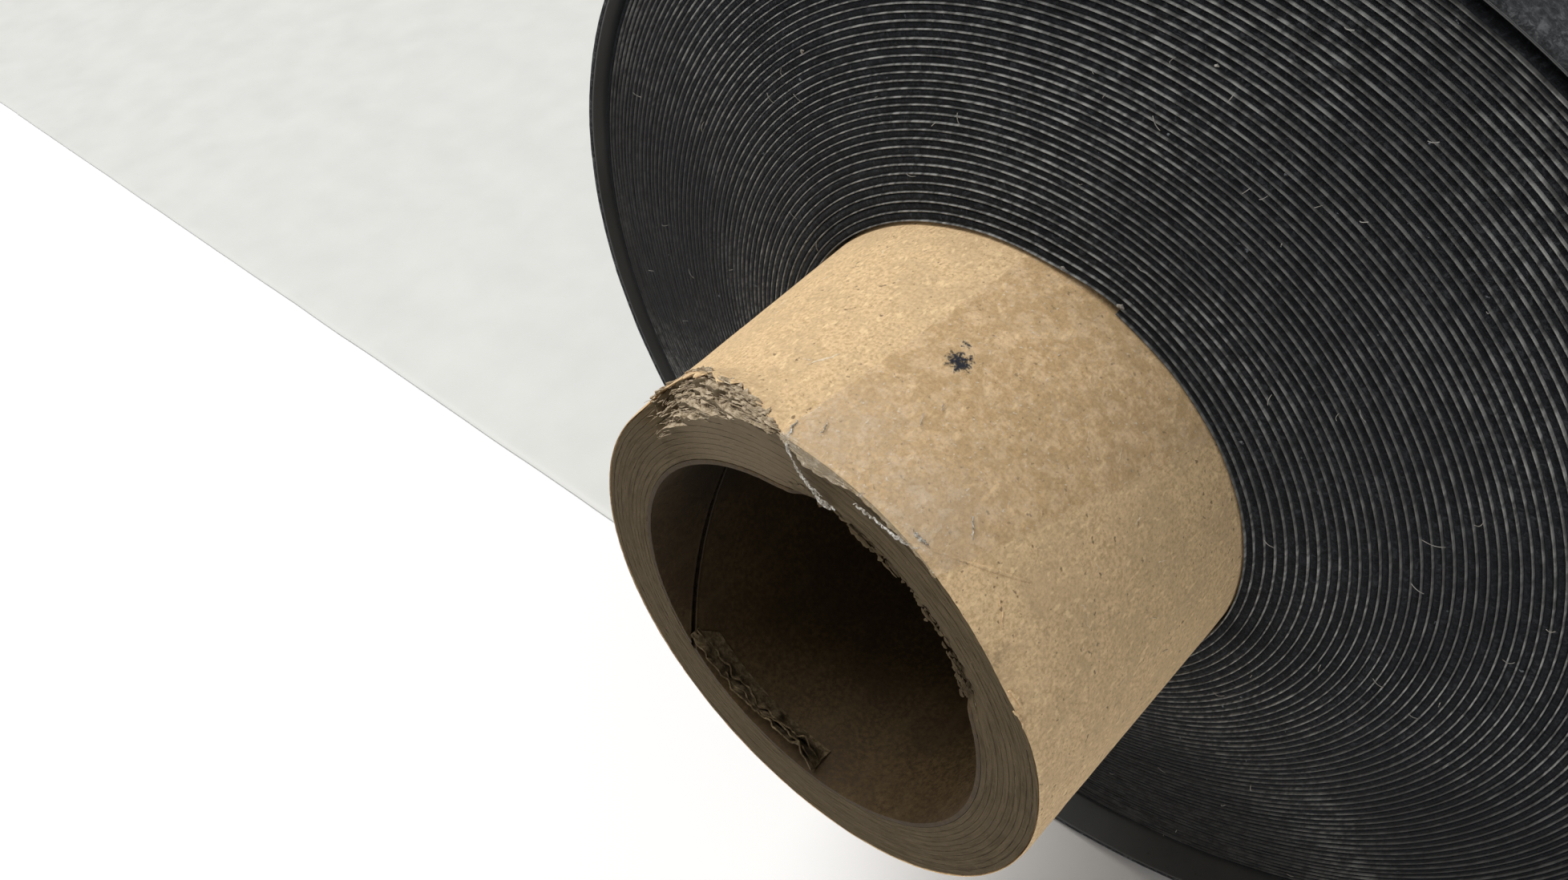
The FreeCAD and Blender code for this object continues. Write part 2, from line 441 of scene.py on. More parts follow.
def cut_board():
    """Cut ends of the paper plies: tight rings, broken by smears from the saw. Coloured several times darker than the
    torn faces of the same board: partly the cut fibres' own darker tone, partly painted shade for the shaded end
    face.
    """
    g = Graph("core_board_cut")
    rings = g.noise(1.0, 4, 0.62, g.polar(2600.0, 7.0, 60.0))
    fine = g.noise(1.0, 3, 0.6, g.polar(6800.0, 16.0, 400.0))
    smear = g.noise(210, 5, 0.62)
    speck = g.noise(1500, 4, 0.7)
    base = g.ramp(rings, (0.36, (0.066, 0.047, 0.024)), (0.49, (0.094, 0.068, 0.037)), (0.64, (0.122, 0.090, 0.051)))
    base = g.layer(base, smear, 0.44, 0.62, 0.7, (0.100, 0.073, 0.041))
    base = g.layer(base, fine, 0.56, 0.70, 0.35, (0.048, 0.033, 0.017))
    base = g.layer(base, speck, 0.56, 0.70, 0.45, (0.165, 0.124, 0.074))
    # Painted light: lighter cut ends round the crushed upper left of the rim, where the up-facing crushed steps catch
    # the light.
    crushed_rim_painted_light = g.near((-8, -FACE - 57, 46), 24.0)
    base = g.layer(base, crushed_rim_painted_light, 0.0, 0.8, 0.7, (0.185, 0.142, 0.090))
    normal = g.bump(rings, 0.4, 0.12, g.bump(speck, 0.6, 0.22))
    return g.set(color=base, rough=g.spread(speck, 0.2, 0.8, 0.8, 0.97), normal=normal, specular=0.15)


def torn_board():
    """Crushed and torn faces of the plies: furry grey-brown pulp with bright fibres and dark pits."""
    g = Graph("core_board_torn")
    fur = g.noise(1.0, 6, 0.72, g.polar(900.0, 42.0, 700.0), 0.5)
    clump = g.noise(520, 5, 0.66)
    base = g.ramp(fur, (0.36, (0.22, 0.165, 0.105)), (0.48, (0.46, 0.365, 0.245)), (0.62, (0.68, 0.57, 0.42)))
    base = g.layer(base, clump, 0.54, 0.66, 0.6, (0.20, 0.15, 0.095))
    base = g.layer(base, g.noise(1900, 3, 0.6), 0.66, 0.74, 0.65, (0.62, 0.53, 0.40))
    normal = g.bump(fur, 0.75, 0.35, g.bump(clump, 0.5, 0.35))
    return g.set(color=base, rough=0.95, normal=normal, specular=0.1)


def liner_paper():
    """Smooth liner of the bore, with a cloudy bloom and faint wind lines. Its colour is very dark: partly the liner's
    own dark paper, partly painted shade for the inside of the bore, darker still in a painted shade patch over the
    bore's left side.
    """
    g = Graph("core_liner_paper")
    bloom = g.noise(55, 4, 0.6)
    pulp = g.noise(1100, 5, 0.66)
    lines = g.noise(1.0, 2, 0.5, g.polar(1.0, 9.0, 55.0))
    base = g.ramp(pulp, (0.38, (0.038, 0.021, 0.0060)), (0.50, (0.058, 0.034, 0.0105)), (0.62, (0.082, 0.051, 0.019)))
    base = g.layer(base, bloom, 0.42, 0.62, 0.5, (0.034, 0.018, 0.0055))
    base = g.layer(base, lines, 0.52, 0.66, 0.25, (0.085, 0.055, 0.024))
    # Painted shade: the bore's left side, deep inside, darkened almost to black.
    bore_painted_shade = g.times(g.near(on_core(152, 28, BORE_R), 50.0), g.spread(bloom, 0.3, 0.6, 0.75, 1.0))
    base = g.mix(bore_painted_shade, base, (0.010, 0.006, 0.002))
    normal = g.bump(pulp, 0.3, 0.18, g.bump(lines, 0.15, 0.3))
    return g.set(color=base, rough=g.spread(pulp, 0.2, 0.8, 0.62, 0.85), normal=normal, specular=0.3)


def painted_shade_dark(g):
    """Painted shade on the near face: a mask that darkens it along its left rim, in the last turn's shadow, and low
    down, where less light reaches it.
    """
    left = g.near((-120, -FACE, 15), 92.0)
    low = g.most(g.near((35, -FACE, -118), 104.0), g.near((108, -FACE, -60), 64.0))
    return g.times(g.most(left, low), 1.35)


def fleece_material(name, dark, mid, pale, fuzz, painted_shade=0.0):
    """Needled fleece: matted black fibres with paler blue-grey ones standing up."""
    g = Graph(name)
    mat = g.noise(900, 6, 0.72, distort=0.8)
    fibre = g.noise(2400, 5, 0.75, g.stretched((1.0, 0.45, 0.8)), 1.2)
    cloud = g.noise(90, 3, 0.6)
    base = g.ramp(mat, (0.43, dark), (0.52, mid), (0.65, pale))
    base = g.layer(base, fibre, 0.56, 0.68, 0.75, pale)
    base = g.layer(base, cloud, 0.42, 0.62, 0.40, dark)
    # Painted shade: the near face darkened along its left rim and low down, by up to this amount.
    if painted_shade:
        base = g.layer(base, painted_shade_dark(g), 0.0, 1.0, painted_shade, dark)
    lint = g.spread(g.noise(520, 3, 0.6), 0.715, 0.76, 0.0, 0.7)
    base = g.mix(lint, base, (0.26, 0.28, 0.30))
    normal = g.bump(mat, 0.8, fuzz, g.bump(fibre, 0.6, fuzz * 0.6))
    return g.set(color=base, rough=0.93, normal=normal, specular=0.15, sheen=0.08, sheen_rough=0.45,
                 sheen_tint=(0.80, 0.88, 1.0, 1.0))


def film_material(name, color, shade, grime_and_shade, grime_and_shade_amount):
    """Matt white film: a faint mottle from the fleece under it, fine calender grain and handling marks."""
    g = Graph(name)
    mottle = g.noise(42, 4, 0.55)
    grain = g.noise(700, 4, 0.6)
    rub = g.noise(11, 5, 0.6, g.stretched((1.0, 2.0, 1.0)))
    base = g.ramp(mottle, (0.25, shade), (0.75, color))
    base = g.layer(base, rub, 0.48, 0.75, 0.22, scaled(shade, 0.93))
    base = g.layer(base, grain, 0.60, 0.80, grime_and_shade_amount, grime_and_shade)
    rough = g.spread(mottle, 0.2, 0.8, 0.42, 0.58)
    normal = g.bump(mottle, 0.10, 0.25, g.bump(grain, 0.12, 0.05))
    return g.set(color=base, rough=rough, normal=normal, specular=0.35)


def film_edge_material():
    """Cut edges of the wound film: coloured far greyer than the film's face, partly grime from the fleece and partly
    painted shade between the fleece turns, and seen as broken beads between its tufts.
    """
    g = Graph("white_film_edge")
    beads = g.noise(1.0, 3, 0.6, g.polar(700.0, 46.0, 8.0))
    drift = g.noise(28, 4, 0.6)
    base = g.ramp(beads, (0.38, (0.07, 0.07, 0.067)), (0.50, (0.175, 0.175, 0.167)), (0.64, (0.32, 0.32, 0.305)))
    base = g.layer(base, drift, 0.44, 0.64, 0.65, (0.055, 0.055, 0.054))
    # Painted shade: darker again along the near face's left rim and low down.
    base = g.layer(base, painted_shade_dark(g), 0.0, 1.0, 0.85, (0.022, 0.022, 0.022))
    return g.set(color=base, rough=0.6, normal=g.bump(beads, 0.4, 0.1), specular=0.25)


def tape_material():
    """Clear packing tape: wets the paper under it darker, with milky trapped air and a crinkled gloss."""
    g = Graph("clear_tape")
    haze = g.noise(420, 6, 0.72, distort=0.4)
    spots = g.noise(1500, 5, 0.7)
    wrinkle = g.noise(120, 5, 0.6, g.stretched((1.0, 0.35, 1.0)), 1.0)
    whiter = g.most(g.near(on_core(80, 50), 17.0), g.near(on_core(62, 50), 16.0))
    milky = g.spread(haze, 0.46, 0.60)
    base = g.mix(milky, (0.64, 0.470, 0.245), (0.92, 0.77, 0.55))
    base = g.mix(g.spread(spots, 0.58, 0.68), base, (0.92, 0.84, 0.70))
    base = g.mix(g.times(whiter, 0.55), base, (0.80, 0.71, 0.57))
    alpha = g.spread(haze, 0.36, 0.64, 0.22, 0.09)
    alpha = g.most(alpha, g.spread(spots, 0.58, 0.70, 0.0, 0.55))
    alpha = g.plus(alpha, g.times(whiter, g.spread(haze, 0.44, 0.60, 0.0, 0.22)))
    ink = ink_dots(g)
    base = g.mix(ink, base, (0.045, 0.048, 0.062))
    alpha = g.most(alpha, g.times(ink, 0.55))
    normal = g.bump(wrinkle, 0.25, 0.30, g.bump(spots, 0.30, 0.10))
    return g.set(color=base, alpha=alpha, rough=g.spread(haze, 0.3, 0.7, 0.26, 0.42), normal=normal, specular=0.3)


def crumpled_tape():
    """Bunched tape, many layers deep, so nearly white."""
    g = Graph("clear_tape_crumpled")
    fold = g.noise(900, 5, 0.75, distort=1.5)
    base = g.ramp(fold, (0.38, (0.30, 0.25, 0.18)), (0.50, (0.62, 0.57, 0.48)), (0.62, (0.92, 0.91, 0.88)))
    normal = g.bump(fold, 0.9, 0.35)
    return g.set(color=base, rough=g.spread(fold, 0.3, 0.7, 0.15, 0.4), normal=normal, specular=0.6,
                 alpha=g.spread(fold, 0.30, 0.60, 0.55, 1.0))


def one_noise(name, noise, stops, rough, specular, bump=None, stretch=None, distort=0.0):
    """A material with one noise, which sets its colour and its relief."""
    g = Graph(name)
    tone = g.noise(*noise, g.stretched(stretch) if stretch else None, distort)
    g.set(color=g.ramp(tone, *stops), rough=rough, specular=specular)
    return g.set(normal=g.bump(tone, *bump)) if bump else g.material


kraft = wrap_material()
board_cut = cut_board()
board_torn = torn_board()
liner = liner_paper()
# The near face's fleece is coloured several times darker than the outside's: partly the cut edges' own darker tone,
# partly painted shade for the shaded near face.
fleece_edge = fleece_material("black_fleece_edge", dark=(0.0028, 0.0031, 0.0037), mid=(0.0075, 0.0082, 0.0095),
                              pale=(0.036, 0.039, 0.043), fuzz=0.40, painted_shade=0.9)
fleece_side = fleece_material("black_fleece_side", dark=(0.020, 0.021, 0.022), mid=(0.050, 0.052, 0.054),
                              pale=(0.145, 0.149, 0.152), fuzz=0.45)
film_tail = film_material("white_film_face", color=(0.755, 0.757, 0.722), shade=(0.712, 0.713, 0.680),
                          grime_and_shade=(0.60, 0.60, 0.57), grime_and_shade_amount=0.12)
film_edge = film_edge_material()
# Painted shade: the last turn's white film, where its inner face shows as a band beside the roll's near face, is
# coloured near black, specks and all, for the shade it stands in.
film_band_painted_shade = film_material("white_film_band_painted_shade", color=(0.098, 0.102, 0.102), shade=(0.068, 0.071, 0.071),
                          grime_and_shade=(0.022, 0.022, 0.022), grime_and_shade_amount=0.5)
tape_clear = tape_material()
tape_white = crumpled_tape()

# ---------------------------------------------------------------- the core's shape
NEAR_OUT = 57.3
END_LEAN = (0.004, 0.052)
PLIES = 10
SEAM_ANGLE = -142.7
SEAM_TURNS = 3.0


def wrapped_round(degrees):
    """The same angle from -180 to 180."""
    return (degrees + 180) % 360 - 180


def end_out(degrees, radius):
    """How far out the core's near end is: a slightly slanted cut, longest at the bottom."""
    a = np.radians(degrees)
    return NEAR_OUT - END_LEAN[0] * radius * np.cos(a) - END_LEAN[1] * radius * np.sin(a)


def crush(degrees):
    """1 along the upper left of the near rim, where the wall has been crushed outwards."""
    return ease(83, 97, degrees) * (1 - ease(122, 133, degrees))


def core_point(degrees, radius, y):
    """The real core: a little oval, more so at its near end, where the rim is flattened and mushroomed."""
    degrees, radius, y = (np.asarray(v, float) for v in np.broadcast_arrays(degrees, radius, y))
    wrapped = wrapped_round(degrees)
    out = -FACE - y
    a = np.radians(degrees)
    t = np.clip(out / NEAR_OUT, 0, 1.1)
    r = radius * (1 + (-0.020 - 0.013 * t) * np.cos(2 * a) + (0.003 + 0.012 * t) * np.sin(2 * a))
    skin = np.clip((radius - 43) / 7, 0, 1)
    r = r - 1.5 * hump(42, 17, wrapped) * ease(45, 57, out) * skin
    r = r - 0.9 * hump(30, 9, wrapped) * ease(50, 58, out) * skin
    mushroom = hump(112, 12.5, wrapped) * hump(51.0, 4.2, out)
    mushroom = mushroom + 0.35 * hump(96, 8, wrapped) * hump(53, 3.5, out)
    r = r + 2.3 * mushroom * np.clip((radius - 44.5) / 5.5, 0, 1) ** 1.2
    return np.stack([r * np.cos(a), y, r * np.sin(a)], -1)


CRUSH_SLOPE = 1.55


def crush_start(degrees):
    """The radius from which the cut plies are crushed back."""
    return 49.4 - np.clip(np.asarray(degrees, float) - 88, 0, 42) * 0.135


def near_setback(degrees, inner, outer, seed):
    """How far each ply's near edge stops short of the cut, in millimetres."""
    middle = (inner + outer) / 2
    wrapped = wrapped_round(degrees)
    back = 0.10 + 0.06 * round_noise(degrees, 14, 3.3, seed) + 0.035 * round_noise(degrees, 230, 9.1, seed + 1)
    start = crush_start(wrapped)
    step = np.clip(middle - start, 0, 6) * CRUSH_SLOPE * crush(wrapped)
    ragged = 1.0 + 0.30 * round_noise(degrees, 60, 5.7, seed + 2) + 0.30 * round_noise(degrees, 240, 1.7, seed + 3)
    back = back + step * ragged
    bitten = ease(18, 34, wrapped) * (1 - ease(74, 92, wrapped)) * np.clip((42.2 - middle) / 3.6, 0, 1)
    teeth = 0.9 + 0.9 * np.abs(round_noise(degrees, 150, 2.2, seed + 4))
    teeth = teeth + 0.5 * round_noise(degrees, 45, 6.2, seed + 5)
    return back + 2.3 * bitten * np.clip(teeth, 0.1, 3)


# Distances in from the near cut and from the far cut, at which a tube has a ring of points.
SIDE_STEPS = np.array([0.12, 0.6, 1.2, 1.8, 2.5, 3.3, 4.2, 5.2, 6.4, 7.8, 9.5,
                       11.5, 14, 17, 21, 26, 32, 39, 47, 56, 66])
FAR_STEPS = np.array([90, 30, 10, 4, 1.5, 0.3])
# The outer plies have more points round them, and the outermost are furred where the rim is crushed.
FINE_FROM, FINE_AROUND, COARSE_AROUND, FURRY_FROM = 6, 900, 600, 45.5
# How deep the rings cut into each ply's near edge are, from its inside to its outside.
GROOVES = (0.07, 0.01, 0.0, 0.04, 0.0, 0.0, 0.03, 0.01, 0.0, 0.06)


def far_cut(degrees, short, rough, seed):
    """Where a ply ends at the core's far end: a slanted cut, uneven by rough."""
    return CORE_END + 0.5 * np.cos(np.radians(degrees - 60)) - short - rough * round_noise(degrees, 60, 4.4, seed + 6)


def hidden_run(degrees, inner, outer, start, far, far_rim):
    """A tube's profile from under the roll, out round the far end and back inside to under the roll."""
    under = np.linspace(-FACE + start, CORE_END - 110, 5)
    outside = [(outer, y) for y in under] + [(outer, far - d) for d in FAR_STEPS]
    inside = [(inner, far - d) for d in FAR_STEPS[::-1]] + [(inner, y) for y in under[::-1]]
    return [core_point(degrees, r, y) for r, y in outside + far_rim + inside]


def ply_tube(name, inner, outer, around, seed):
    """One ply of the core as a closed tube, with its own uneven cut at each end."""
    degrees = np.arange(around) * 360 / around - 180
    thick = outer - inner
    back = near_setback(degrees, inner, outer, seed)
    far = far_cut(degrees, 0.15, 0.12, seed)
    near_y = lambda radius: -FACE - end_out(degrees, radius) + back
    fur = crush(wrapped_round(degrees)) if outer > FURRY_FROM else 0
    columns = []
    for d in SIDE_STEPS:
        fuzz = fur * max(0.0, 1 - d / 7) * 0.40 * round_noise(degrees, 250, d * 1.9, seed + 7)
        columns.append(core_point(degrees, outer + fuzz, near_y(outer) + d))
    far_rim = [(inner + share * thick, far - depth) for share, depth in ((0.93, 0.05), (0.5, 0.0), (0.07, 0.05))]
    columns += hidden_run(degrees, inner, outer, 40, far, far_rim)
    columns += [core_point(degrees, inner, near_y(inner) + d) for d in SIDE_STEPS[::-4]]
    for share, depth in zip(np.linspace(0.04, 0.96, len(GROOVES)), GROOVES):
        radius = inner + share * thick
        broken = np.clip(0.35 + 0.75 * round_noise(degrees, 34, share * 7, seed + 8), 0, 1.1)
        uneven = 0.04 * round_noise(degrees, 250, share * 31, seed + 9)
        columns.append(core_point(degrees, radius, near_y(radius) + depth * broken + uneven))
    torn = np.tile(np.arange(len(columns)) < len(SIDE_STEPS) - 1, around).astype(int)
    piece = ring_loft(name, columns, "roll", "core_board", [board_cut, board_torn], face_slots=torn, sharp=50)
    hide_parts(name.replace("_paper", ""))


ply_edges = [LINER_R + (WRAP_IN - LINER_R) * k / PLIES for k in range(PLIES + 1)]
for index in range(PLIES):
    around = FINE_AROUND if index >= FINE_FROM else COARSE_AROUND
    ply_tube(f"core_body_ply_{index + 1:02d}_paper", ply_edges[index], ply_edges[index + 1], around, 100 + 20 * index)


def kraft_wrap():
    """The brown outer paper, standing as far out as the cut and torn back along the crushed rim."""
    around = 960
    degrees = np.arange(around) * 360 / around - 180
    seed = 400
    crushed = crush(wrapped_round(degrees))
    back = near_setback(degrees, WRAP_IN, CORE_R, seed)
    back = np.maximum(back + crushed * (0.9 * round_noise(degrees, 120, 8.8, seed + 11) + 0.5), 0.02)
    near_y = -FACE - end_out(degrees, CORE_R) + back
    far = far_cut(degrees, 0.1, 0.1, seed)
    lift = crushed * (0.35 + 0.45 * round_noise(degrees, 110, 2.8, seed + 12))
    middle = (CORE_R + WRAP_IN) / 2
    steps = np.concatenate([SIDE_STEPS, [80, 100]])
    columns = []
    for d in steps:
        rise = lift * np.exp(-d / 1.4) + 0.05 * round_noise(degrees, 200, d * 0.5, seed + 13)
        round_off = -0.22 * math.exp(-d / 0.5)
        columns.append(core_point(degrees, CORE_R + rise + round_off, near_y + d))
    columns += hidden_run(degrees, WRAP_IN, CORE_R, 60, far, [(middle, far)])
    columns += [core_point(degrees, WRAP_IN + lift * np.exp(-d / 1.4), near_y + d) for d in steps[::-4]]
    columns.append(core_point(degrees, middle + lift, near_y - 0.06))
    piece = ring_loft("core_kraft_wrap_paper", columns, "roll", "kraft_wrap", kraft, sharp=50)
    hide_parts("core_kraft_wrap")


kraft_wrap()


def seam_dark():
    """The shadowed raw edges inside the liner's open seam."""
    g = Graph("core_liner_seam")
    fur = g.noise(1300, 4, 0.65)
    base = g.ramp(fur, (0.40, (0.006, 0.004, 0.002)), (0.60, (0.020, 0.013, 0.006)))
    return g.set(color=base, rough=0.95, normal=g.bump(fur, 0.5, 0.15), specular=0.1)


def core_liner():
    """The bore's liner. Its columns follow the helix that it was wound on, so the open seam is a real groove."""
    base = np.arange(470) * 360 / 470
    close = np.linspace(-3.4, 3.4, 34)
    degrees = np.unique(np.round(np.concatenate([base[(base > 4) & (base < 356)], close % 360]), 4))
    gap = wrapped_round(degrees)
    degrees = degrees + SEAM_ANGLE
    at_end = degrees - 360 * SEAM_TURNS
    seed = 700
    near_y = -FACE - end_out(degrees, BORE_R) + near_setback(degrees, BORE_R, LINER_R, seed)
    far = far_cut(degrees, 0.2, 0.15, seed)
    groove = 0.84 * hump(0, 1.0, gap)
    lip = 0.22 * hump(1.5, 0.8, gap) + 0.12 * hump(-1.6, 0.8, gap)
    columns = []
    for t in np.concatenate([[0.0, 0.0015, 0.004, 0.008], np.linspace(0.013, 0.987, 158), [0.996, 1.0]]):
        wave = 0.10 * lattice((degrees - 360 * SEAM_TURNS * t) / 24 + 60, t * 40, seed + 7)
        radius = BORE_R + groove - lip + wave
        columns.append(core_point(degrees - 360 * SEAM_TURNS * t, radius, near_y + (far - near_y) * t))
    columns.append(core_point(at_end, LINER_R - 0.06, far))
    for t in (0.995, 0.8, 0.6, 0.4, 0.2, 0.005):
        columns.append(core_point(at_end, LINER_R, near_y + (far - near_y) * t))
    columns.append(core_point(at_end, LINER_R - 0.06, near_y))
    columns.append(core_point(at_end, (LINER_R + BORE_R) / 2, near_y - 0.08))
    in_seam = np.repeat((np.abs(gap) < 0.95).astype(int), len(columns))
    piece = ring_loft("core_liner_ply_paper", columns, "roll", "core_board", [liner, seam_dark()],
                      face_slots=in_seam, sharp=50)
    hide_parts("core_liner_ply")


core_liner()


# ---------------------------------------------------------------- torn and crumpled details of the core
def torn_liner():
    """The near edge of the liner has come away at the bore's lower left and curls in, in three creased layers."""
    scraps = Scraps()
    along = np.linspace(0, 1, 90)
    across = np.linspace(0, 1, 12)
    degrees = (-146 + 54 * along)[:, None]
    free = np.interp(-146 + 54 * along, [-146, -140, -131, -120, -112, -104, -98, -94, -92],
                     [38.2, 36.0, 35.2, 34.8, 33.4, 31.9, 31.5, 33.8, 37.4])[:, None]
    for layer, (reach, depth, seed) in enumerate(((0.0, 0.0, 31), (0.7, 1.0, 47), (1.5, 2.1, 63))):
        v = across[None]
        crease = 0.55 * lattice(along[:, None] * 15 + layer * 3, v * 2 + layer, seed)
        crease = crease + 0.16 * lattice(along[:, None] * 50, v * 4 + 9, seed + 1)
        edge = free + reach + 0.45 * lattice(along[:, None] * 40, 3.3, seed + 2)
        radius = BORE_R - 0.15 - (BORE_R - 0.15 - np.minimum(edge, BORE_R - 0.3)) * v ** 1.5 + crease * v
        depth_in = 3.6 * (1 - v) ** 1.1 * ease(0, 0.12, along)[:, None] + 0.5 + depth
        depth_in = depth_in + 0.7 * lattice(along[:, None] * 18, v * 2 + 4, seed + 3) * v
        y = -FACE - end_out(degrees, radius) + depth_in
        scraps.shell(core_point(degrees + 0 * v, radius, y), 0.30)
    scraps.piece("core_liner_torn_edge", "roll", "core_board", liner_torn, sharp=60)


def flake_outline(rng, middle, radius, span, cols, rows, taper):
    """The angles of one flake's grid of points, the share of its length at each row, and its jagged free edge."""
    u = np.linspace(-0.5, 0.5, cols)[:, None]
    v = np.linspace(0, 1, rows)[None]
    jag = 1 - taper * np.abs(u * 2) ** 2 + 0.3 * lattice(u * 7 + middle, 0.5 + 0 * v, int(rng.integers(1, 9999)))
    return middle + np.degrees(span * u / radius) + 0 * v, v, jag


def torn_flakes():
    """Flakes and fibre tufts along the back of the crushed stretch of rim, and rags round the bore's near edge."""
    rng = np.random.default_rng(2024)
    scraps = Scraps()
    for _ in range(240):
        middle = rng.uniform(89, 129)
        crushed, start = float(crush(middle)), float(crush_start(middle))
        if crushed < 0.25:
            continue
        backset = CRUSH_SLOPE * (CORE_R - start) * crushed
        out = end_out(middle, CORE_R) - backset * rng.beta(2.2, 1.0) * 1.1 - rng.uniform(-0.2, 0.7)
        depth = np.clip((end_out(middle, CORE_R) - out) / max(backset, 0.1), 0, 1)
        foot = start + (CORE_R - start) * depth
        span, length = rng.uniform(0.6, 3.0), rng.uniform(0.4, 1.3)
        rise = rng.uniform(0.06, 0.38) * (0.4 + 0.9 * depth)
        degrees, v, jag = flake_outline(rng, middle, foot, span, 9, 5, 0.55)
        lean = rng.choice([-1.0, 1.0], p=[0.35, 0.65])
        flake = core_point(degrees, foot + 0.05 + rise * v ** 1.6 * jag, -FACE - out - lean * length * v * jag * 0.7)
        scraps.shell(flake, rng.uniform(0.10, 0.2))
    k = np.linspace(0, 1, 6)
    for _ in range(420):
        middle = rng.uniform(87, 130)
        crushed, start = float(crush(middle)), float(crush_start(middle))
        depth = rng.uniform(0.0, 1.0)
        out = end_out(middle, CORE_R) - CRUSH_SLOPE * (CORE_R - start) * crushed * depth
        foot = start + (CORE_R - start) * depth
        lean, twist, length = rng.uniform(-1, 1), rng.uniform(-4, 4), rng.uniform(0.3, 1.0)
        path = core_point(middle + twist * k * k, foot - 0.1 + length * 0.6 * k, -FACE - out - lean * k * length)
        scraps.rod(path, 0.07 * (1 - 0.75 * k) + 0.012, sides=4)
    scraps.piece("core_crushed_rim_flakes", "roll", "core_board", board_torn, sharp=60)
    scraps = Scraps()
    for _ in range(230):
        middle = rng.uniform(25, 86)
        foot = float(np.interp(middle, [28, 47, 62, 76], [39.2, 40.4, 40.5, 41.4])) + rng.normal(0, 0.45)
        out = end_out(middle, foot) - rng.uniform(0.15, 1.5)
        span, length = rng.uniform(0.4, 2.2), rng.uniform(0.2, 0.6)
        rise = rng.uniform(0.05, 0.5) + 0.5 * rng.random() ** 4
        degrees, v, jag = flake_outline(rng, middle, foot, span, 7, 4, 0.6)
        scraps.shell(core_point(degrees, foot + 0.3 - rise * v * jag, -FACE - out - length * v * jag * 0.5), 0.12)
    scraps.piece("core_bore_edge_rags", "roll", "core_board", board_cut, sharp=60)


def wrap_scuffs():
    """A lifted fold in the wrap beside the tape, a pale scratch, and a torn lip at the right of the rim."""
    scraps = Scraps()

    def ridge(points, width, height, waver, seed):
        points = np.asarray(points, float)
        k = np.linspace(0, 1, 40)
        place = np.linspace(0, 1, len(points))
        degrees = np.interp(k, place, points[:, 0]) + waver * lattice(k * 9, 1.5, seed)
        out = np.interp(k, place, points[:, 1]) + waver * lattice(k * 8, 7.5, seed + 1)
        path = core_point(degrees, CORE_R + height * 0.25, -FACE - out)
        taper = np.sqrt(np.clip(np.sin(np.pi * (0.06 + 0.88 * k)), 0, 1))
        taper = taper * (1 + 0.35 * lattice(k * 14, 2.5, seed + 2))
        up = core_point(degrees, 60.0, -FACE - out) - core_point(degrees, 50.0, -FACE - out)
        up /= np.linalg.norm(up, axis=1, keepdims=True)
        scraps.rod(path, width / 2 * taper, sides=6, flat=2 * height / width, up=up)

    creases = (
        ([(57.5, 53.6), (53.0, 51.0), (47, 47.4), (41.6, 43.9)], 0.55, 0.16, 0.12),
        ([(44, 49.5), (41.5, 50.3), (39.5, 51.6)], 0.32, 0.10, 0.1),
        ([(30, 55.4), (27.5, 54.8), (25.5, 55.0)], 0.7, 0.28, 0.15),
        ([(26.5, 56.4), (24, 55.8), (22.5, 56.4)], 0.5, 0.2, 0.15),
    )
    for n, (points, width, height, waver) in enumerate(creases):
        ridge(points, width, height, waver, 11 + 10 * n)
    scraps.piece("core_wrap_creases", "roll", "kraft_wrap", kraft, sharp=60)
    scraps = Scraps()
    ridge([(95.6, 40.6), (94.0, 38.6), (92.3, 36.2)], 0.42, 0.10, 0.25, 51)
    ridge([(97.2, 39.6), (96.0, 39.4)], 0.28, 0.08, 0.25, 61)
    rng = np.random.default_rng(77)
    for n in range(26):
        a, out = rng.uniform(5, 150), rng.uniform(2, 50)
        da, do = rng.uniform(-1.6, 1.6), rng.uniform(-1.2, 1.2)
        ridge([(a, out), (a + da * 0.6, out + do), (a + da, out + 1.5 * do)], 0.13, 0.06, 0.25, 100 + 3 * n)
    scraps.piece("core_wrap_scratches", "roll", "kraft_wrap", pale_fibre, sharp=60)


def tape_edges(out):
    """The angles of the tape's left and right edges at a distance out."""
    return 83.2 + 0.097 * (out - 12.8), 35.8 + 0.345 * (out - 4.2)


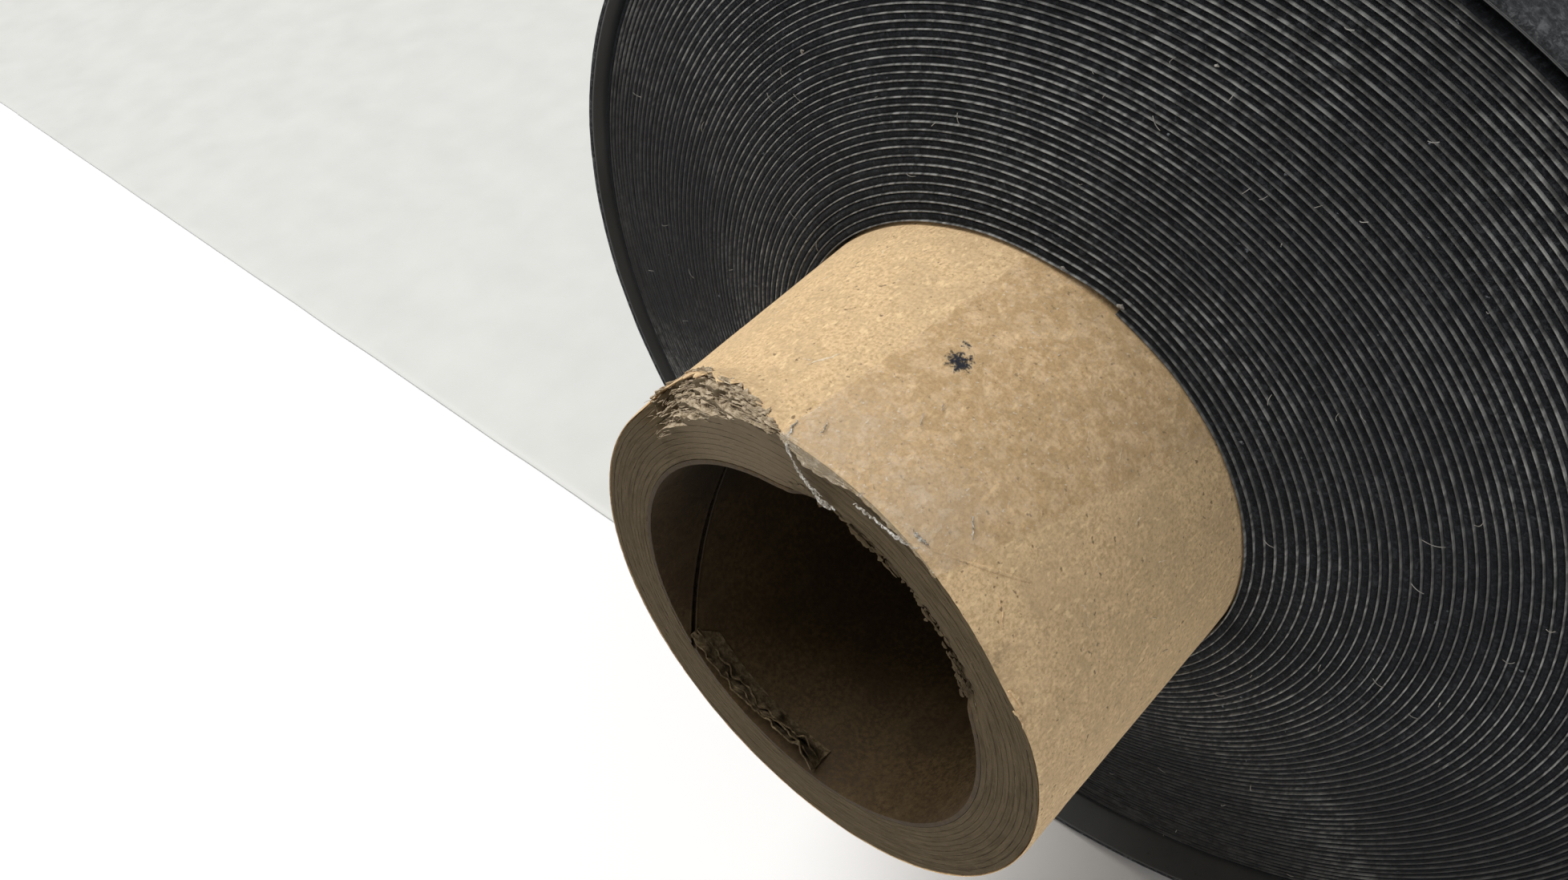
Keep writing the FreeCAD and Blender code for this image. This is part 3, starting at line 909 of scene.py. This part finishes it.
def clear_tape():
    """The clear strip: smoothed onto the wrap, with its end turned over the rim and stuck to the cut plies."""
    rows_out = np.concatenate([np.linspace(-22, 44, 60), np.linspace(44.6, 54.0, 30)])
    share = np.linspace(0, 1, 120)
    degrees, out, radius = [], [], []
    for o in rows_out:
        left_edge, right_edge = tape_edges(o)
        a = left_edge + (right_edge - left_edge) * share
        a[0] += 0.25 * float(lattice(o * 0.9, 0.5, 81))
        a[-1] += 0.35 * float(lattice(o * 0.7, 4.5, 82))
        reach = (o - rows_out[0]) / (rows_out[-1] - rows_out[0])
        o_here = o + (end_out(a, CORE_R) - 54.3) * ease(40, 54, o)
        bubble = 0.10 * np.clip(lattice(a * 0.45, o_here * 0.35, 83), 0, 1)
        bubble = bubble + 0.05 * lattice(a * 1.6, o_here * 1.1, 84)
        blister = 0.35 * hump(60, 4.5, a) * hump(49, 4.0, o_here) + 0.3 * hump(84, 2.2, a) * hump(51, 3.0, o_here)
        degrees.append(a)
        out.append(o_here)
        radius.append(CORE_R + 0.12 + (bubble + blister) * ease(2, 8, o) * ease(0, 1, reach))
    a = degrees[-1]
    fold = np.interp(a, [50, 58.8, 62, 66, 70, 73, 76, 80, 84, 86.5, 88],
                     [50.0, 49.9, 49.4, 49.1, 49.4, 49.0, 48.0, 47.6, 47.9, 49.0, 49.8])
    for n, k in enumerate(np.linspace(0.06, 1, 22)):
        r = CORE_R + 0.1 - (CORE_R + 0.1 - fold) * k
        lift = 0.30 + 0.30 * lattice(a * 0.5, n * 0.35, 85) * k + 0.25 * lattice(a * 1.3, n * 0.8, 86) * k
        lift = lift + 0.4 * hump(79, 4.0, a) * k * k
        degrees.append(a)
        out.append(end_out(a, r) - 0.16 + np.clip(lift, 0.1, 2.0) * ease(0, 0.25, k) + 0.1)
        radius.append(r)
    sheet = core_point(np.array(degrees), np.array(radius), -FACE - np.array(out))
    strip = Scraps()
    strip.shell(sheet, 0.07)
    piece = strip.piece("core_tape_strip_clear", "roll", "clear_tape", tape_clear, sharp=70)
    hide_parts("core_tape_strip")


def tape_crumples():
    """The bunched cut end of the tape on the end face and rim, and two standing wrinkles."""
    scraps = Scraps()

    def bunch(points, thick, flat, seed):
        points = np.asarray(points, float)
        k = np.linspace(0, 1, 60)
        place = np.linspace(0, 1, len(points))
        a = np.interp(k, place, points[:, 0]) + 0.35 * lattice(k * 16, 0.5, seed)
        r = np.interp(k, place, points[:, 1]) + 0.28 * lattice(k * 22, 3.5, seed + 1)
        o = np.interp(k, place, points[:, 2]) + 0.25 * lattice(k * 19, 6.5, seed + 2)
        path = core_point(a, r, -FACE - (end_out(a, r) + o))
        taper = np.clip(np.sin(np.pi * (0.05 + 0.9 * k)), 0.25, 1)
        radii = thick * (0.35 + 0.75 * np.abs(lattice(k * 26, 9.5, seed + 3)) + 0.25) * taper
        scraps.rod(path, radii, sides=8, flat=flat, up=(0.0, -1.0, 0.0))

    # Points as angle, radius and distance proud of the cut; then the thickness and the flatness.
    bunches = (
        ([(86.8, 50.3, -3.4), (86.2, 50.2, -1.2), (85.6, 49.0, 0.35), (84.2, 47.0, 0.45)], 0.42, 0.7),
        ([(85.8, 48.6, 0.4), (82.5, 45.9, 0.8), (79.5, 44.4, 0.9), (76.8, 43.4, 0.9)], 0.40, 0.6),
        ([(79.0, 44.3, 1.0), (77.0, 43.6, 1.1), (75.2, 42.9, 0.8), (73.9, 42.9, 0.4)], 0.58, 0.6),
        ([(83.0, 46.3, 0.9), (79.5, 45.2, 1.3), (76.5, 44.4, 1.0)], 0.26, 0.6),
        ([(71.0, 47.1, 0.3), (69.0, 47.7, 0.5), (66.5, 48.2, 0.4), (64.5, 48.2, 0.5)], 0.30, 0.6),
        ([(65.5, 48.3, 0.4), (62.5, 49.0, 0.6), (60.0, 49.7, 0.3), (58.3, 50.2, -0.4)], 0.42, 0.6),
        ([(61.0, 50.2, -1.6), (59.2, 50.3, -1.4), (57.6, 50.3, -1.8)], 0.42, 0.5),
        ([(56.4, 50.3, -10.3), (55.0, 50.4, -9.0), (53.4, 50.3, -7.4)], 0.13, 0.8),
        ([(83.0, 50.35, -6.2), (82.4, 50.4, -4.6), (82.0, 50.3, -3.0)], 0.12, 0.8),
        ([(73.0, 50.35, -17.0), (71.8, 50.35, -14.6)], 0.08, 0.8),
        ([(72.0, 50.35, -20.6), (71.2, 50.35, -19.2)], 0.07, 0.8),
    )
    for n, (points, thick, flat) in enumerate(bunches):
        bunch(points, thick, flat, 201 + 10 * n)
    scraps.piece("core_tape_crumpled_end", "roll", "clear_tape", tape_white, sharp=70)


liner_torn = one_noise(
    "core_liner_torn", (900, 6, 0.72),
    ((0.38, (0.046, 0.031, 0.015)), (0.50, (0.086, 0.061, 0.031)), (0.64, (0.165, 0.122, 0.070))),
    0.93, 0.15, bump=(0.5, 0.2), stretch=(1.0, 1.0, 0.4), distort=0.6,
)
pale_fibre = one_noise("pale_paper_fibre", (1600, 4, 0.6), ((0.35, (0.66, 0.50, 0.31)), (0.65, (0.88, 0.76, 0.56))),
                       0.85, 0.2, bump=(0.4, 0.1))
torn_liner()
torn_flakes()
wrap_scuffs()
clear_tape()
tape_crumples()

# ---------------------------------------------------------------- the wound web
TURNS_TO = 48.0
TURNS_FROM = TURNS_TO - (49 + 153 / 360)
PER_TURN = 180
WOUND_FILM_TOP = WOUND_R - FLEECE_T - FILM_T


def turn_radius(turn):
    """Radius of the film's inner face by turn number: slacker near the core, tight outside."""
    k = np.asarray(turn, float) / 50
    last = TURNS_TO / 50
    plain, top = (CORE_R * (1.044 + 1.694 * x - 1.056 * x**2 + 1.656 * x**3 - 0.920 * x**4) for x in (k, last))
    smooth = plain * (1 - (1 - WOUND_FILM_TOP / top) * (np.maximum(k, 0) / last) ** 2)
    return smooth + 0.65 * np.exp(-(np.asarray(turn, float) - TURNS_FROM) / 0.8)


def stepped_radius(turn):
    """The first turns hug the core and climb in one step over the web's inner end, a step that fades further out."""
    since = np.maximum(np.asarray(turn, float) - TURNS_FROM, 0)
    whole = np.floor(since + 1e-9)
    low, high = turn_radius(TURNS_FROM + whole), turn_radius(TURNS_FROM + whole + 1)
    stepped = low + (high - low) * ease(0.955, 1.0, since - whole)
    fade = np.exp(-since / 2.2)
    return turn_radius(turn) * (1 - fade) + stepped * fade


def face_out(radius):
    """How far the roll's near face stands out at a radius: a shallow dish, deepest at the rim."""
    t = radius / CORE_R - 1
    return -(11.0 * t - 3.62 * t * t)


def web_point(degrees, radius, y):
    """A point on the web, in millimetres. Turns near the core are slightly oval."""
    a = np.radians(degrees)
    fade = np.exp(-(radius / CORE_R - 1) / 0.6)
    r = radius * (1 + fade * (-0.020 * np.cos(2 * a) + 0.003 * np.sin(2 * a)))
    r = r + 0.10 * np.sin(a * 3 + radius * 0.31) * ease(50, 60, radius) * (1 - ease(105, 112, radius))
    return np.stack([r * np.cos(a), y, r * np.sin(a)], -1)


def wound_web():
    count = int((TURNS_TO - TURNS_FROM) * PER_TURN) + 1
    turn = np.linspace(TURNS_FROM, TURNS_TO, count)
    degrees = -90 + 360 * (TURNS_TO - turn)
    inner = stepped_radius(turn)
    room = stepped_radius(turn + 1) - inner
    room = np.where(turn > TURNS_TO - 1, WOUND_R - inner, room)
    gap = 0.05 + 0.04 * lattice(turn * 9, 2.5, 901)
    fleece = np.clip(room - FILM_T - gap, 0.5, 1.28)
    rng = np.random.default_rng(4711)
    slip = 0.22 * lattice(turn * 0.21 + 30, 0.5, 902) + 0.10 * lattice(turn * 1.03, 4.5, 903)
    slip = slip + 0.05 * lattice(turn * 7, 8.5, 904)
    near = -FACE - face_out(inner) + slip
    far = near + 2 * FACE + 0.15 * lattice(turn * 1.7, 5.5, 905)
    start = inner + FILM_T
    profile = []
    edge = ((0.0, 0.34), (0.2, 0.09), (0.5, 0.0), (0.8, 0.10), (1.0, 0.36))
    for side, inward, order in ((near, 1, edge), (far, -1, edge[::-1])):
        for share, depth in order:
            fuzz = 0.055 * rng.standard_normal(count)
            profile.append(web_point(degrees, start + share * fleece, side + inward * depth + fuzz))
    piece = open_loft("wound_web_fleece", profile, "roll", "black_fleece", fleece_edge, sharp=80)
    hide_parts("wound_web")
    proud = 0.20 + 0.08 * lattice(turn * 13, 1.5, 906) + 0.09 * lattice(turn * 47, 6.5, 907)
    profile = []
    edge = ((0.04, 0.05), (0.5, 0.0), (0.96, 0.05))
    for side, inward, order in ((near - proud, 1, edge), (far + proud, -1, edge[::-1])):
        profile += [web_point(degrees, inner + share * FILM_T, side + inward * depth) for share, depth in order]
    open_loft("wound_web_film", profile, "roll", "white_film", film_edge, sharp=80)


wound_web()


def face_lint():
    """A few dozen short fibres and specks of lint caught on the roll's near face and between the first turns."""
    rng = np.random.default_rng(99)
    scraps = Scraps()
    for _ in range(90):
        degrees, radius = rng.uniform(-180, 180), rng.uniform(53, 117)
        k = np.linspace(0, 1, 7)
        length, bend = rng.uniform(0.5, 2.6), rng.uniform(-1.2, 1.2)
        heading = rng.uniform(0, TAU)
        a = degrees + np.degrees(length * (np.cos(heading) * k + bend * k * k * 0.4) / radius)
        r = radius + length * (np.sin(heading) * k - bend * k * k * 0.3)
        out = face_out(radius) + 0.32 + rng.uniform(0, 0.25) + 0.3 * np.sin(k * 3)
        scraps.rod(web_point(a, r, -FACE - out), np.full(7, rng.uniform(0.035, 0.075)), sides=4)
    for degrees, radius, size in ((63.2, 52.4, 0.55), (75.0, 51.8, 0.35), (121, 84, 0.40), (70, 93, 0.30)):
        k = np.linspace(0, 1, 9)
        a = degrees + np.degrees(2.2 * size * (k - 0.5) / radius)
        r = radius + 0.6 * size * np.sin(k * 5)
        radii = size * (0.25 + 0.55 * np.sin(np.pi * k) * (0.7 + 0.3 * np.cos(k * 17)))
        scraps.rod(web_point(a, r, -FACE - face_out(radius) - 0.3 - 0.2 * np.sin(k * 4)), radii, sides=6)
    scraps.piece("roll_face_lint", "roll", "black_fleece", lint, sharp=60)


lint = one_noise("lint", (900, 3, 0.6), ((0.35, (0.22, 0.20, 0.17)), (0.65, (0.48, 0.46, 0.42))), 0.9, 0.2)
face_lint()


# ---------------------------------------------------------------- the loose last turn
def arc_point(phi, depth_in, y):
    """A point depth_in below the last turn's outside. phi runs from -90, where it leaves the floor, to 270."""
    a = np.radians(phi)
    height = np.where(phi > 90, TURN_STEP, 0.0)
    r = TURN_R - height - depth_in
    return np.stack([r * np.cos(a), y + 0 * a, height + r * np.sin(a)], -1)


def last_turn_edge(phi):
    """The near edge: flush with the tail at the bottom, then drawn back, but still proud of the dished face."""
    waver = 0.25 * lattice(phi / 21 + 20, 1.5, 911)
    return -FACE + 5.8 * ease(-95, 75, phi) + waver + 0.10 * lattice(phi / 4 + 40, 3.5, 912)


def last_turn():
    """The outermost turn, loose of the roll below: its fleece outside and its film inside."""
    phi = np.linspace(-90, 269.2, 420)
    near = last_turn_edge(phi)
    far = near + 2 * FACE
    across = np.concatenate([[0.0, 0.0009, 0.0022, 0.004, 0.007, 0.012, 0.02], np.linspace(0.03, 0.97, 44),
                             [0.98, 0.988, 0.993, 0.996, 0.9978, 0.9991, 1.0]])
    rounded = lambda s, depth: depth * math.exp(-min(s, 1 - s) * 2 * FACE / 0.35)
    swell = ((0.75, 0.05), (0.5, 0.09), (0.25, 0.04))
    columns = []
    for s in across:
        ripple = 0.10 * lattice(phi / 9 + 30, s * 30, 921) + 0.05 * lattice(phi / 2.2 + 30, s * 90, 922)
        columns.append(arc_point(phi, rounded(s, 0.30) + np.abs(ripple), near + (far - near) * s))
    columns += [arc_point(phi, FLEECE_T * (1 - share), far + bulge) for share, bulge in swell]
    for s in across[::-1]:
        columns.append(arc_point(phi, FLEECE_T - 0.01 - rounded(s, 0.14), near + (far - near) * s))
    for share, bulge in swell[::-1]:
        fuzz = 0.05 * lattice(phi * 1.4 + 130, share * 9, 931)
        columns.append(arc_point(phi, FLEECE_T * (1 - share), near - bulge + fuzz))
    piece = open_loft("last_turn_fleece", columns, "outer_turn", "black_fleece", fleece_side, sharp=80)
    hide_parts("outer_turn_fleece")
    proud = -0.12 + 0.10 * lattice(phi / 5 + 60, 2.5, 941)
    near, far = near - proud, far + proud
    middle = FLEECE_T + FILM_T / 2
    columns = [arc_point(phi, FLEECE_T, near + (far - near) * s) for s in across]
    columns.append(arc_point(phi, middle, far + 0.04))
    columns += [arc_point(phi, FLEECE_T + FILM_T, near + (far - near) * s) for s in across[::-1]]
    columns.append(arc_point(phi, middle, near - 0.04))
    # The strip of the film's inner face next to the near edge takes the near-black painted-shade film.
    strip = np.tile(np.arange(len(columns)) >= len(columns) - 10, len(phi) - 1).astype(int)
    piece = open_loft("last_turn_film", columns, "outer_turn", "white_film", [film_tail, film_band_painted_shade],
                      face_slots=strip, sharp=80)
    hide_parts("outer_turn_film")


last_turn()

# ---------------------------------------------------------------- the tail
panel_length = HINGES[0] - HINGES[1]
CUTS = [0.0, HINGES[0] - panel_length / 2, HINGES[1] - panel_length / 2, TAIL_END]
STRETCHES = [
    ("tail_near", "outer_turn", "tail_panel_1", HINGES[0], ("tail_base", "tail_panel_1")),
    ("tail_middle", "tail_panel_1", "tail_panel_2", HINGES[1], ("tail_panel_2",)),
    ("tail_far", "tail_panel_2", "tail_panel_3", HINGES[2], ("tail_panel_3",)),
]


def tail_steps(start, end, hinge):
    """Stations along one stretch: close together about its hinge."""
    coarse = np.arange(start, end, -9.0)
    fine = np.arange(hinge + FLAT_BEND + 6, hinge - FLAT_BEND - 6, -2.0)
    steps = np.unique(np.round(np.concatenate([coarse, fine, [start, end]]), 3))[::-1]
    keep = [steps[0]]
    for x in steps[1:]:
        if keep[-1] - x > 0.9 or x == end:
            keep.append(x)
    return np.array(keep)


def flat_web(label, x, low, high, edge_drop, edge_out, wave_seed, body, slot, material):
    """A thin flat strip with soft long edges. edge_drop bends its edges down, and edge_out lets them stand out."""
    shares = np.concatenate([[0, 0.0006, 0.0013, 0.0022, 0.0035, 0.006, 0.012], np.linspace(0.025, 0.975, 40),
                             [0.988, 0.994, 0.9965, 0.9978, 0.9987, 0.9994, 1.0]])
    waver = 0.22 * lattice(x / 37 + 50, 0.5, wave_seed) + 0.10 * lattice(x / 6.5 + 120, 3.5, wave_seed + 1)
    near, far = -FACE - edge_out + waver, FACE + edge_out + waver

    def line(share, level, out=0.0):
        edge = min(share, 1 - share) * 2 * FACE
        height = level - edge_drop * math.exp(-((edge / 0.85) ** 1.5))
        return np.stack([x, near + (far - near) * share + out, np.full(len(x), height)], -1)

    columns = [line(share, high) for share in shares] + [line(1.0, (low + high) / 2, 0.05)]
    columns += [line(share, low) for share in shares[::-1]] + [line(0.0, (low + high) / 2, -0.05)]
    return open_loft(label, columns, body, slot, material, sharp=80, ride=False)


for (name, parent, child, hinge, stands_for), start, end in zip(STRETCHES, CUTS[:-1], CUTS[1:]):
    x = tail_steps(start, end, hinge)
    seed = 960 + int(abs(start)) % 17
    fleece = flat_web(name + "_fleece", x, FLOOR, FLEECE_TOP, 0.0, -0.55, seed, parent, "black_fleece", fleece_side)
    film = flat_web(name + "_film", x, FLEECE_TOP, FILM_TOP, 0.62, 0.35, seed, parent, "white_film", film_tail)
    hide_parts(*[n + "_fleece" for n in stands_for])
    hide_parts(*[n + "_film" for n in stands_for])
    for piece in (fleece, film):
        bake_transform(piece)

# ---------------------------------------------------------------- floor, light
FLOOR_HALF = 12.0
FLOOR_GAP = 0.0001
FLOOR_ALBEDO = 0.98
SUN_STRENGTH, SUN_SPREAD, SUN_GOES = 2.6, 38, (0.42, 0.10, -0.90)
SKY_STRENGTH = 0.33
floor_mesh = bpy.data.meshes.new("floor")
corners = [(x * FLOOR_HALF, y * FLOOR_HALF, FLOOR * MM - FLOOR_GAP) for x, y in ((-1, -1), (1, -1), (1, 1), (-1, 1))]
floor_mesh.from_pydata(corners, [], [(0, 1, 2, 3)])
floor = bpy.data.objects.new("floor", floor_mesh)
bpy.context.scene.collection.objects.link(floor)
g = Graph("floor_paint")
floor_mesh.materials.append(g.set(color=(FLOOR_ALBEDO, FLOOR_ALBEDO, FLOOR_ALBEDO, 1.0), rough=0.9, specular=0.1))

sun_data = bpy.data.lights.new("soft_key", "SUN")
sun_data.energy = SUN_STRENGTH
sun_data.angle = math.radians(SUN_SPREAD)
sun = bpy.data.objects.new("soft_key", sun_data)
bpy.context.scene.collection.objects.link(sun)
sun.rotation_mode = "QUATERNION"
sun.rotation_quaternion = Vector(SUN_GOES).to_track_quat("-Z", "Y")

world = bpy.data.worlds.new("studio")
world.use_nodes = True
sky = world.node_tree.nodes["Background"].inputs
sky["Color"].default_value = (1.0, 1.0, 1.0, 1.0)
sky["Strength"].default_value = SKY_STRENGTH
bpy.context.scene.world = world
bpy.context.scene.view_settings.view_transform = "Standard"
